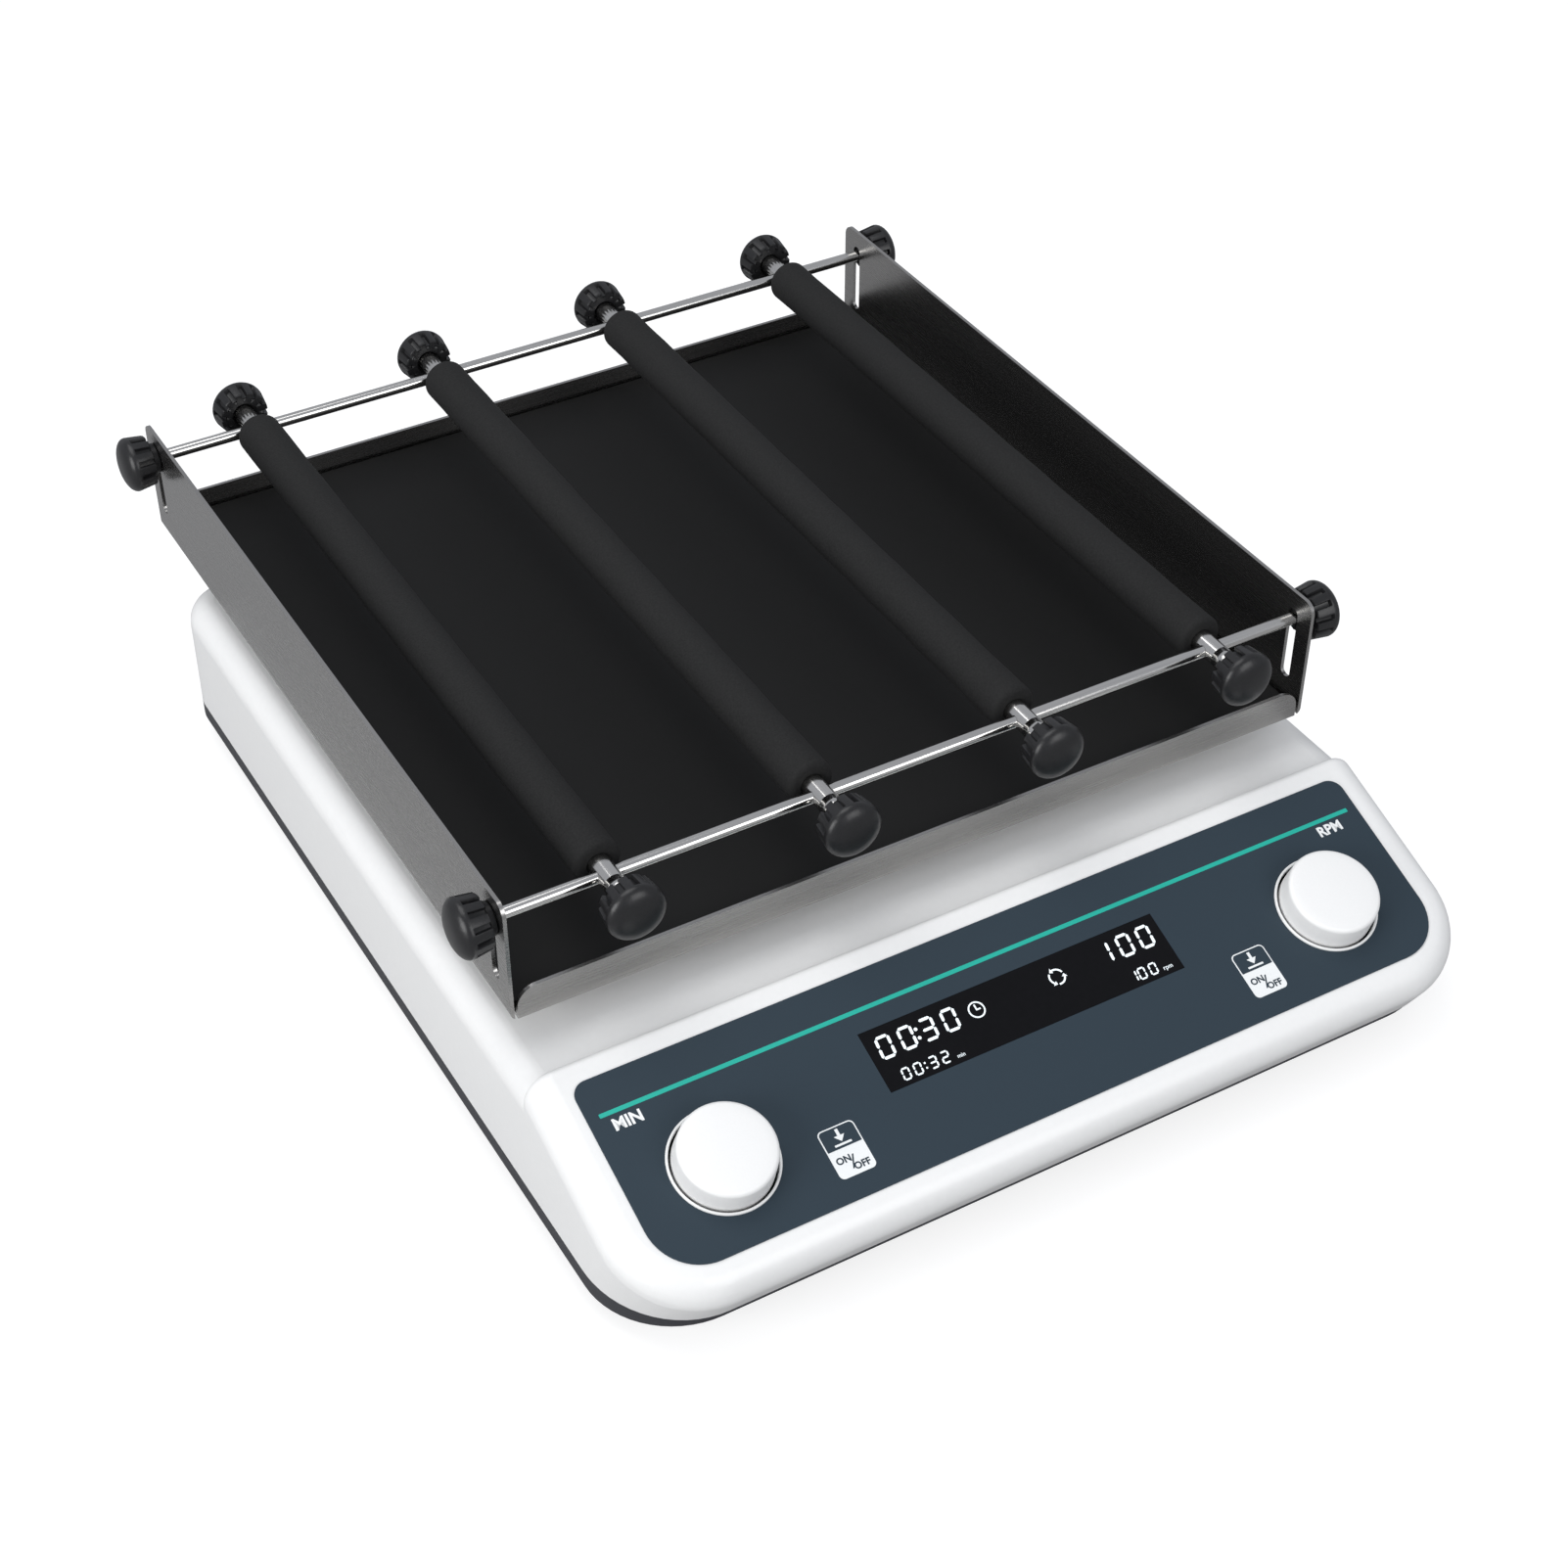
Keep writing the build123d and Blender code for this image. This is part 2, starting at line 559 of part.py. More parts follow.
def star_knob(bore_radius, bore_deep, stud_long):
    """Star knob along +Z with its hub face on the origin, dome outwards."""
    low, high = star_hub, star_hub + star_skirt
    top = high + star_dome
    profile = Polyline((0, 0), (star_hub_radius, 0), (star_hub_radius, low), (star_radius - 0.8, low),
                       (star_radius, low + 0.8), (star_radius, high - 0.8), (star_radius - 0.7, high),
                       (star_radius * 0.84, high + 0.42 * star_dome), (star_radius * 0.58, top - 0.22 * star_dome),
                       (star_radius * 0.26, top), (0, top), close=True)
    form = revolve(Plane.XZ * make_face(profile), Axis.Z)
    notch = Pos(star_radius, 0, low + notch_long / 2 - 0.5) * Box(2 * notch_deep, notch_wide, notch_long + 1)
    for i in range(star_notches):
        form -= Rot(0, 0, 360 / star_notches * i) * notch
    if bore_deep:
        form -= disc(bore_radius, -1, bore_deep)
    if stud_long:
        form += disc(bore_radius, -stud_long, 1)
    return form


# Corner knobs screw onto the rod ends and clamp the side plates
corner = star_knob(rod_radius + run_clearance, rod_reach + 0.5, 0)
for name, side, y in (("corner_knob_front_left", -1, front_rod_y), ("corner_knob_front_right", 1, front_rod_y),
                      ("corner_knob_back_left", -1, back_rod_y), ("corner_knob_back_right", 1, back_rod_y)):
    turn = Rot(0, 90 * side, 0)
    save(name, Pos(pin_dx + side * (side_x + seat_gap), y, rod_z) * turn * corner)

# Clamp bars: drilled tube, foam sleeve and a star knob in each end
tube_front, tube_back = front_rod_y - front_reach, back_rod_y + back_reach
sleeve_front, sleeve_back = front_rod_y + foam_front, back_rod_y - foam_back
stud = tube_bore - run_clearance
front_star = star_knob(stud, 0, front_reach - rod_radius - 0.4)
back_star = star_knob(stud, 0, back_reach - rod_radius - 0.4)
for i, place in enumerate(bar_places, 1):
    x = pin_dx + place
    tube = Pos(x, (tube_front + tube_back) / 2, rod_z) * Rot(90, 0, 0) * (
        Cylinder(tube_radius, tube_back - tube_front) - Cylinder(tube_bore, tube_back - tube_front + 2))
    for y in (front_rod_y, back_rod_y):
        tube -= Pos(x, y, rod_z) * Rot(0, 90, 0) * Cylinder(rod_radius + rod_play, 3 * tube_radius)
    save(f"bar_{i}_tube", tube)
    sleeve = Cylinder(foam_radius, sleeve_back - sleeve_front)
    sleeve = fillet(sleeve.edges().filter_by(GeomType.CIRCLE), 3)
    sleeve -= Cylinder(tube_radius, sleeve_back - sleeve_front + 2)
    save(f"bar_{i}_foam", Pos(x, (sleeve_front + sleeve_back) / 2, rod_z) * Rot(90, 0, 0) * sleeve)
    save(f"bar_{i}_front_knob", Pos(x, tube_front - seat_gap, rod_z) * Rot(90, 0, 0) * front_star)
    save(f"bar_{i}_back_knob", Pos(x, tube_back + seat_gap, rod_z) * Rot(-90, 0, 0) * back_star)
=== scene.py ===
"""Orbital shaker with a clamp tray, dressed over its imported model. Metres, +Z up, console faces -Y."""

import math

import bmesh
import bpy
from mathutils import Matrix, Vector


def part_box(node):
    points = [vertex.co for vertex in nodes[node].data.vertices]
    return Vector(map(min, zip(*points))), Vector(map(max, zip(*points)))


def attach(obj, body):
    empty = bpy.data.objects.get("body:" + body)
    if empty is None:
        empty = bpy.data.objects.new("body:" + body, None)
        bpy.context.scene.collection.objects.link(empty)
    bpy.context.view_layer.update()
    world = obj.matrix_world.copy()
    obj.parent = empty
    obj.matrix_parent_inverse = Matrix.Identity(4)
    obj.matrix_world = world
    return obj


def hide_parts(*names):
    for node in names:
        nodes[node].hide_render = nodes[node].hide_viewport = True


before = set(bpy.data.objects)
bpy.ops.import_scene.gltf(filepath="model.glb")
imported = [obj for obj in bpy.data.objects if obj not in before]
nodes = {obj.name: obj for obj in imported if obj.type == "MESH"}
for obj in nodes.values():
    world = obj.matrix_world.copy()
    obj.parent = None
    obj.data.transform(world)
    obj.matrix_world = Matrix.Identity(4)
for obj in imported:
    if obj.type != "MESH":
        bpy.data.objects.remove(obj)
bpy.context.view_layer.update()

# Camera
# The photographer stood to the front left and looked down at about forty degrees,
# close enough for the tray's far end to look narrower than its near end.
camera = bpy.data.objects.new("camera", bpy.data.cameras.new("camera"))
bpy.context.collection.objects.link(camera)
bpy.context.scene.camera = camera
picture_wide = 1602
focal_pixels = 2807.02
sensor_wide = 36
view_turn = math.radians(-29.92)
view_rise = math.radians(39.98)
back = Vector((math.sin(view_turn) * math.cos(view_rise), -math.cos(view_turn) * math.cos(view_rise),
               math.sin(view_rise)))
right = Vector((math.cos(view_turn), math.sin(view_turn), 0))
up = back.cross(right)
stand = Vector((-0.43799, -0.82685, 0.77153))
camera.matrix_world = Matrix.Translation(stand) @ Matrix((right, up, back)).transposed().to_4x4()
camera.data.sensor_width = sensor_wide
camera.data.sensor_fit = "HORIZONTAL"
camera.data.lens = sensor_wide * focal_pixels / picture_wide
camera.data.clip_start = 0.05
camera.data.clip_end = 20

# Bench and light
# A seamless white bench under large soft lamps: one over the object, a stronger one low
# at the left and one at the front, as in a catalogue picture.
bench_half = 6
bench_grey = 0.38
bench_glow = 0.74
scene = bpy.context.scene
scene.view_settings.view_transform = "Standard"
world = bpy.data.worlds.new("studio")
scene.world = world
world.use_nodes = True
sky = world.node_tree
plain = sky.nodes["Background"]
plain.inputs["Color"].default_value = (0.9, 0.93, 1.0, 1)
plain.inputs["Strength"].default_value = 0.5
white = sky.nodes.new("ShaderNodeBackground")
white.inputs["Color"].default_value = (1, 1, 1, 1)
white.inputs["Strength"].default_value = 1.0
path = sky.nodes.new("ShaderNodeLightPath")
choose = sky.nodes.new("ShaderNodeMixShader")
sky.links.new(path.outputs["Is Camera Ray"], choose.inputs[0])
sky.links.new(plain.outputs[0], choose.inputs[1])
sky.links.new(white.outputs[0], choose.inputs[2])
sky.links.new(choose.outputs[0], sky.nodes["World Output"].inputs["Surface"])


def lamp(name, place, aim, size, watts):
    """Square soft lamp that faces a point."""
    light = bpy.data.lights.new(name, "AREA")
    light.shape = "SQUARE"
    light.size = size
    light.energy = watts
    holder = bpy.data.objects.new(name, light)
    bpy.context.collection.objects.link(holder)
    holder.location = place
    holder.rotation_mode = "QUATERNION"
    holder.rotation_quaternion = (Vector(aim) - Vector(place)).to_track_quat("-Z", "Y")


lamp("lamp_over", (-0.35, 0.3, 1.7), (0, 0, 0.1), 1.2, 11.5)
lamp("lamp_left", (-1.95, -0.6, 0.75), (0, 0, 0.08), 1.2, 25)
lamp("lamp_front", (0.4, -1.8, 1.0), (0, -0.1, 0.1), 1.1, 11.5)

floor_mesh = bpy.data.meshes.new("bench")
floor_corners = [(x * bench_half, y * bench_half, 0) for x, y in ((-1, -1), (1, -1), (1, 1), (-1, 1))]
floor_mesh.from_pydata(floor_corners, [], [(0, 1, 2, 3)])
bench = bpy.data.objects.new("bench", floor_mesh)
bpy.context.collection.objects.link(bench)
bench_paint = bpy.data.materials.new("bench")
bench_paint.use_nodes = True
tree = bench_paint.node_tree
matt = tree.nodes["Principled BSDF"]
matt.inputs["Base Color"].default_value = (bench_grey, bench_grey, bench_grey, 1)
matt.inputs["Roughness"].default_value = 0.9
matt.inputs["Specular IOR Level"].default_value = 0.1
glow = tree.nodes.new("ShaderNodeEmission")
seen = tree.nodes.new("ShaderNodeLightPath")
strength = tree.nodes.new("ShaderNodeMath")
strength.operation = "MULTIPLY"
strength.inputs[1].default_value = bench_glow
total = tree.nodes.new("ShaderNodeAddShader")
tree.links.new(seen.outputs["Is Camera Ray"], strength.inputs[0])
tree.links.new(strength.outputs[0], glow.inputs["Strength"])
tree.links.new(matt.outputs[0], total.inputs[0])
tree.links.new(glow.outputs[0], total.inputs[1])
tree.links.new(total.outputs[0], tree.nodes["Material Output"].inputs["Surface"])
bench.data.materials.append(bench_paint)

# Top housing
# One shell of white lacquered moulding. The lacquer lies almost smooth, with a faint
# orange-peel surface and a slight change in gloss from place to place.


def finish(name, colour, rough, grain=900.0, depth=0.00002, spread=0.05, shade=0.06, metal=0.0,
           stretch=(1, 1, 1), sheen=0.5):
    """Principled finish with grain in its colour, gloss and relief, scaled along the axes by stretch."""
    made = bpy.data.materials.new(name)
    made.use_nodes = True
    tree = made.node_tree
    surface = tree.nodes["Principled BSDF"]
    surface.inputs["Metallic"].default_value = metal
    surface.inputs["Specular IOR Level"].default_value = sheen
    where = tree.nodes.new("ShaderNodeTexCoord")
    place = tree.nodes.new("ShaderNodeMapping")
    place.inputs["Scale"].default_value = stretch
    noise = tree.nodes.new("ShaderNodeTexNoise")
    noise.inputs["Scale"].default_value = grain
    noise.inputs["Detail"].default_value = 4
    gloss = tree.nodes.new("ShaderNodeMapRange")
    gloss.inputs["To Min"].default_value = max(0.02, rough - spread)
    gloss.inputs["To Max"].default_value = min(1.0, rough + spread)
    tint = tree.nodes.new("ShaderNodeValToRGB")
    tint.color_ramp.elements[0].position = 0.3
    tint.color_ramp.elements[1].position = 0.7
    tint.color_ramp.elements[0].color = (*[c * (1 - shade) for c in colour], 1)
    tint.color_ramp.elements[1].color = (*[min(1, c * (1 + shade / 2)) for c in colour], 1)
    relief = tree.nodes.new("ShaderNodeBump")
    relief.inputs["Distance"].default_value = depth
    relief.inputs["Strength"].default_value = 1.0
    tree.links.new(where.outputs["Object"], place.inputs["Vector"])
    tree.links.new(place.outputs["Vector"], noise.inputs["Vector"])
    tree.links.new(noise.outputs["Fac"], gloss.inputs["Value"])
    tree.links.new(noise.outputs["Fac"], tint.inputs["Fac"])
    tree.links.new(noise.outputs["Fac"], relief.inputs["Height"])
    tree.links.new(gloss.outputs["Result"], surface.inputs["Roughness"])
    tree.links.new(tint.outputs["Color"], surface.inputs["Base Color"])
    tree.links.new(relief.outputs["Normal"], surface.inputs["Normal"])
    return made


def dress(material, *names):
    """Give CAD nodes a finish."""
    for name in names:
        mesh = nodes[name].data
        if not mesh.materials:
            mesh.materials.append(material)
        for i in range(len(mesh.materials)):
            mesh.materials[i] = material


lacquer = finish("housing_lacquer", (0.84, 0.84, 0.83), 0.36, grain=420, depth=0.00001, spread=0.04,
                 shade=0.012)
top_coat = lacquer.node_tree.nodes["Principled BSDF"]
top_coat.inputs["Coat Weight"].default_value = 0.25
top_coat.inputs["Coat Roughness"].default_value = 0.2
dress(lacquer, "top_housing")

# Base tray
# Folded sheet steel under a dark powder coat, whose grain is coarse enough to feel.
powder = finish("base_powder_coat", (0.035, 0.036, 0.042), 0.5, grain=2600, depth=0.00005, spread=0.08,
                shade=0.25)
dress(powder, "base_tray")

# Feet, belt and chassis
# Moulded rubber feet, a grey zinc-plated chassis with its pillars and screws, and the
# drive belt's black rubber.
foot_rubber = finish("foot_rubber", (0.022, 0.022, 0.023), 0.75, grain=1800, depth=0.00006, shade=0.3)
dress(foot_rubber, "rubber_feet", "drive_belt")
zinc = finish("zinc_plate", (0.5, 0.51, 0.52), 0.38, grain=160, depth=0.00001, spread=0.12, shade=0.14,
              metal=1.0)
dress(zinc, "chassis_plate", "chassis_pillars", "chassis_screws", "motor", "counterweight", "encoder_bodies")

# Drive
# Ground steel shafts and bearings, and turned aluminium housings, pulley and carrier
# that keep the fine rings of the lathe.
ground = finish("ground_steel", (0.56, 0.56, 0.57), 0.24, grain=700, depth=0.000004, spread=0.06, shade=0.08,
                metal=1.0, stretch=(1, 1, 9))
dress(ground, "eccentric_shaft", "idler_front_left", "idler_front_right", "idler_back_left",
      "idler_back_right", "shaft_bearings", "carrier_bearings", "motor_rotor", "time_knob_shaft",
      "speed_knob_shaft", "tray_screws")
turned_metal = finish("turned_aluminium", (0.68, 0.69, 0.7), 0.34, grain=300, depth=0.00001, spread=0.08,
                      shade=0.06, metal=1.0, stretch=(1, 1, 14))
dress(turned_metal, "bearing_housings", "drive_pulley", "orbit_carrier", "time_encoder_rotor",
      "speed_encoder_rotor")

# Electronics inside the console
# A green board under solder resist, a black display module and a black supply case.
resist = finish("solder_resist", (0.015, 0.09, 0.045), 0.35, grain=500, depth=0.00001, shade=0.3)
dress(resist, "control_board")
case_plastic = finish("case_plastic", (0.025, 0.025, 0.028), 0.5, grain=1500, depth=0.00004, shade=0.25)
dress(case_plastic, "display_module", "power_supply", "mains_inlet", "switch_frame")

# Power rocker
# A gloss black rocker, moulded in one piece with the pins it tilts on.
rocker_gloss = finish("rocker_gloss", (0.02, 0.02, 0.022), 0.22, grain=900, depth=0.000005, shade=0.15)
dress(rocker_gloss, "power_rocker")

# Control overlay
# A polyester film in dark slate, printed with a teal line and white lettering, and
# pressed into the sloped face of the housing.
slope = math.radians(20)
ridge = Vector((0, -0.1995, 0.0755))
film_thick = 0.0005
print_thick = 0.00008
size_of_capital = 1.42
face_turn = Matrix.Rotation(slope, 4, "X")


def on_face(x, y, out=0.0):
    """Matrix of a point of the control face: x to the right, y up the slope, out of the face."""
    return Matrix.Translation(ridge) @ face_turn @ Matrix.Translation((x, y, out))


film = finish("overlay_film", (0.031, 0.047, 0.062), 0.45, grain=3200, depth=0.000012, spread=0.06,
              shade=0.05, sheen=0.15)
dress(film, "control_panel")


def piece(name, verts, faces, body, material, place, smooth=False):
    """New mesh piece that rides on a body."""
    mesh = bpy.data.meshes.new(name)
    mesh.from_pydata([tuple(v) for v in verts], [], faces)
    mesh.transform(place)
    mesh.validate()
    mesh.materials.append(material)
    if smooth:
        mesh.shade_smooth()
    made = bpy.data.objects.new(name, mesh)
    bpy.context.collection.objects.link(made)
    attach(made, body)
    return made


def print_on(name, outlines, material, out=film_thick):
    """Printed shapes on the control face, one for each outline, joined in one piece."""
    verts, faces = [], []
    for line in outlines:
        count = len(line)
        first = len(verts)
        verts += [(x, y, 0) for x, y in line] + [(x, y, print_thick) for x, y in line]
        faces.append(tuple(first + count + i for i in range(count)))
        faces.append(tuple(first + i for i in reversed(range(count))))
        for i in range(count):
            j = (i + 1) % count
            faces.append((first + i, first + j, first + count + j, first + count + i))
    return piece(name, verts, faces, "base", material, on_face(0, 0, out))


def round_rect(x0, y0, x1, y1, radii, steps=8):
    """Rounded rectangle, with radii for the corners right bottom, right top, left top and left bottom."""
    corners = ((x1, y0, -90), (x1, y1, 0), (x0, y1, 90), (x0, y0, 180))
    line = []
    for (x, y, start), radius in zip(corners, radii):
        centre_x = x - radius if x == x1 else x + radius
        centre_y = y - radius if y == y1 else y + radius
        for k in range(steps + 1):
            angle = math.radians(start + 90 * k / steps)
            line.append((centre_x + radius * math.cos(angle), centre_y + radius * math.sin(angle)))
    return line


print_white = finish("print_white", (0.85, 0.87, 0.87), 0.5, grain=2600, depth=0.000004, shade=0.03)
print_teal = finish("print_teal", (0.008, 0.42, 0.33), 0.45, grain=2600, depth=0.000004, shade=0.04)
stripe = round_rect(-0.165, -0.0261, 0.1654, -0.0244, (0.0003,) * 4, steps=2)
print_on("teal_line", [stripe], print_teal)


def lettering(name, words, x, y, height, material, out=film_thick, bold=0.0):
    """Flat printed letters on the control face, centred on a point."""
    text = bpy.data.curves.new(name, "FONT")
    text.body = words
    text.size = height * size_of_capital
    text.extrude = print_thick / 2
    text.offset = bold
    text.align_x = "CENTER"
    text.align_y = "CENTER"
    text.resolution_u = 3
    draft = bpy.data.objects.new(name + "_draft", text)
    bpy.context.collection.objects.link(draft)
    bpy.context.view_layer.update()
    mesh = bpy.data.meshes.new_from_object(draft.evaluated_get(bpy.context.evaluated_depsgraph_get()))
    bpy.data.objects.remove(draft)
    mesh.name = name
    mesh.materials.clear()
    mesh.materials.append(material)
    made = bpy.data.objects.new(name, mesh)
    bpy.context.collection.objects.link(made)
    mesh.transform(on_face(x, y, out + print_thick / 2))
    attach(made, "base")
    return made


lettering("minutes_label", "MIN", -0.1563, -0.0305, 0.0045, print_white, bold=0.0002)
lettering("revolutions_label", "RPM", 0.1537, -0.0300, 0.0042, print_white, bold=0.0002)

# Press plates beside the knobs
# Printed frames that say what a press on the knob does: an arrow onto a bar in the
# dark upper half, and ON over OFF in the white lower half.
plate_wide = 0.0148
plate_top = -0.0620
plate_low = -0.0816
plate_mid = (plate_top + plate_low) / 2 + 0.0012
rim = 0.0005
on_print = film_thick + print_thick
on_dark = on_print + print_thick
for word, x in (("time", -0.0904), ("speed", 0.0910)):
    left, right_edge = x - plate_wide / 2, x + plate_wide / 2
    outer = round_rect(left, plate_low, right_edge, plate_top, (0.002,) * 4)
    inner = round_rect(left + rim, plate_mid, right_edge - rim, plate_top - rim,
                       (0.0002, 0.0016, 0.0016, 0.0002))
    middle_y = (plate_mid + plate_top) / 2
    arrow = [(x - 0.0006, middle_y + 0.0030), (x - 0.0006, middle_y + 0.0004),
             (x - 0.0021, middle_y + 0.0004), (x, middle_y - 0.0020), (x + 0.0021, middle_y + 0.0004),
             (x + 0.0006, middle_y + 0.0004), (x + 0.0006, middle_y + 0.0030)]
    bar = round_rect(x - 0.0034, middle_y - 0.0034, x + 0.0034, middle_y - 0.0026, (0.0001,) * 4, steps=2)
    stroke = [(x - 0.0014, plate_low + 0.0024), (x - 0.0008, plate_low + 0.0024),
              (x + 0.0014, plate_low + 0.0076), (x + 0.0008, plate_low + 0.0076)]
    print_on(f"{word}_press_frame", [outer], print_white)
    print_on(f"{word}_press_dark", [inner], film, on_print)
    print_on(f"{word}_press_arrow", [arrow, bar], print_white, on_dark)
    lettering(f"{word}_press_on", "ON", x - 0.0030, plate_low + 0.0066, 0.0026, film, on_print, bold=0.0001)
    lettering(f"{word}_press_off", "OFF", x + 0.0026, plate_low + 0.0028, 0.0026, film, on_print, bold=0.0001)
    print_on(f"{word}_press_stroke", [stroke], film, on_print)

# Display
# A black gloss window over a segment display whose figures light up in white: the set
# and the running time at the left, the speeds at the right.
glass = finish("display_glass", (0.005, 0.005, 0.006), 0.12, grain=400, depth=0.000002, spread=0.02,
               shade=0.1, sheen=0.12)
dress(glass, "display_window")
lit = finish("lit_segment", (0.82, 0.88, 0.9), 0.4, grain=900, depth=0.000002, shade=0.02)
lamp_face = lit.node_tree.nodes["Principled BSDF"]
lamp_face.inputs["Emission Color"].default_value = (0.8, 0.9, 0.95, 1)
lamp_face.inputs["Emission Strength"].default_value = 0.35
segments_of = {"0": "abcdef", "1": "bc", "2": "abged", "3": "abgcd"}


def figure(digit, x, y, tall, wide, stroke):
    """Outlines of one seven-segment figure, centred on a point and leaning to the right."""
    half_tall, half_wide, half = tall / 2, wide / 2, stroke / 2
    gap = stroke * 0.16
    slant = 0.09
    levels = {"a": half_tall - half, "g": 0, "d": -half_tall + half}
    lines = []
    for part in segments_of[digit]:
        if part in levels:
            level = levels[part]
            low, high = -half_wide + half + gap, half_wide - half - gap
            lines.append([(low, level), (low + half, level - half), (high - half, level - half),
                          (high, level), (high - half, level + half), (low + half, level + half)])
        else:
            across = half_wide - half if part in "bc" else -half_wide + half
            low = gap if part in "bf" else -half_tall + half + gap
            high = low + half_tall - half - 2 * gap
            lines.append([(across, low), (across + half, low + half), (across + half, high - half),
                          (across, high), (across - half, high - half), (across - half, low + half)])
    return [[(x + along + slant * rise, y + rise) for along, rise in line] for line in lines]


def dot(x, y, radius, steps=20):
    """Round dot of the display."""
    angles = [2 * math.pi * k / steps for k in range(steps)]
    return [(x + radius * math.cos(angle), y + radius * math.sin(angle)) for angle in angles]


def arc_band(x, y, radius, thick, start, end, steps):
    """Open ring band between two angles in degrees."""
    angles = [math.radians(start + (end - start) * k / steps) for k in range(steps + 1)]
    bore = radius - thick
    outer = [(x + radius * math.cos(angle), y + radius * math.sin(angle)) for angle in angles]
    inner = [(x + bore * math.cos(angle), y + bore * math.sin(angle)) for angle in reversed(angles)]
    return outer + inner


big = (0.0094, 0.0062, 0.00115)
small = (0.0050, 0.0034, 0.00065)
figure_rows = (("0030", (-0.0576, -0.0483, -0.0393, -0.0299), -0.0421, big),
               ("0032", (-0.0558, -0.0508, -0.0443, -0.0392), -0.0546, small),
               ("100", (0.0387, 0.0483, 0.0574), -0.0416, big),
               ("100", (0.0440, 0.0480, 0.0530), -0.0545, small))
dots_after = (((-0.0438, -0.0404, 0.0007), (-0.0441, -0.0440, 0.0007)),
              ((-0.0475, -0.0536, 0.0004), (-0.0476, -0.0556, 0.0004)), (), ())
shown = []
for (digits, places, level, size), dots in zip(figure_rows, dots_after):
    for digit, x in zip(digits, places):
        shown += figure(digit, x, level, *size)
    shown += [dot(*spot) for spot in dots]

# The clock sign: a ring with two hands.
clock_x, clock_y = -0.0186, -0.0425
sign_wide = 0.0034
for start, end in ((0, 179), (181, 359)):
    shown.append(arc_band(clock_x, clock_y, sign_wide, 0.0006, start, end, 20))
shown += [round_rect(clock_x - 0.0003, clock_y, clock_x + 0.0003, clock_y + 0.0022, (0.0001,) * 4, steps=2),
          round_rect(clock_x - 0.0003, clock_y - 0.0003, clock_x + 0.0017, clock_y + 0.0003, (0.0001,) * 4,
                     steps=2)]

# The turning sign: three arrows that chase one another.
turn_x, turn_y = 0.0167, -0.0428
for start in (20, 140, 260):
    shown.append(arc_band(turn_x, turn_y, sign_wide, 0.0007, start, start + 84, 12))
    tip = math.radians(start + 108)
    root = math.radians(start + 84)
    shown.append([(turn_x + 0.0020 * math.cos(root), turn_y + 0.0020 * math.sin(root)),
                  (turn_x + 0.0042 * math.cos(root), turn_y + 0.0042 * math.sin(root)),
                  (turn_x + 0.0031 * math.cos(tip), turn_y + 0.0031 * math.sin(tip))])
print_on("display_figures", shown, lit)
lettering("display_minutes", "min", -0.0333, -0.0562, 0.0016, lit)
lettering("display_rpm", "rpm", 0.0588, -0.0560, 0.0018, lit)

# Control knobs
# Satin white turned caps with a softly crowned top, each in a white ring that lines
# the round hole of the overlay.
knob_white = finish("knob_white", (0.86, 0.86, 0.85), 0.42, grain=1500, depth=0.000008, spread=0.05,
                    shade=0.015)
knob_place_x = 0.1325
knob_place_y = -0.0578
knob_low = -0.0018
knob_high = 0.0120
knob_wide = 0.0188
knob_narrow = 0.0183
edge = 0.0018
crown_rise = 0.0006
shaft_hole = 0.0034
chamfer = 0.0003
ring_bore = 0.01965
ring_middle = 0.0202
ring_half = 0.0005
ring_high = 0.0009


def skin(rings, closed=False):
    """Faces between rings of vertices that follow each other. A ring of one vertex is a tip."""
    faces = []
    pairs = list(zip(rings, rings[1:])) + ([(rings[-1], rings[0])] if closed else [])
    for low, high in pairs:
        count = max(len(low), len(high))
        for k in range(count):
            j = (k + 1) % count
            if len(low) == 1:
                faces.append((low[0], high[j], high[k]))
            elif len(high) == 1:
                faces.append((low[k], low[j], high[0]))
            else:
                faces.append((low[k], low[j], high[j], high[k]))
    return faces


def turned(name, profile, body, material, place, steps=96, closed=False):
    """Turned piece: a profile of (radius, height) points swung about Z."""
    verts, rings = [], []
    angles = [2 * math.pi * k / steps for k in range(steps)]
    for radius, z in profile:
        if radius < 1e-7:
            rings.append([len(verts)])
            verts.append((0, 0, z))
        else:
            rings.append(list(range(len(verts), len(verts) + steps)))
            verts += [(radius * math.cos(angle), radius * math.sin(angle), z) for angle in angles]
    made = piece(name, verts, skin(rings, closed), body, material, place, smooth=True)
    bm = bmesh.new()
    bm.from_mesh(made.data)
    bmesh.ops.recalc_face_normals(bm, faces=bm.faces)
    bm.to_mesh(made.data)
    bm.free()
    return made


def corner_arc(out, high, radius, start, end, steps=6):
    """Points of a rounded corner in a profile, angles in degrees."""
    angles = [math.radians(start + (end - start) * k / steps) for k in range(steps + 1)]
    return [(out + radius * math.cos(angle), high + radius * math.sin(angle)) for angle in angles]


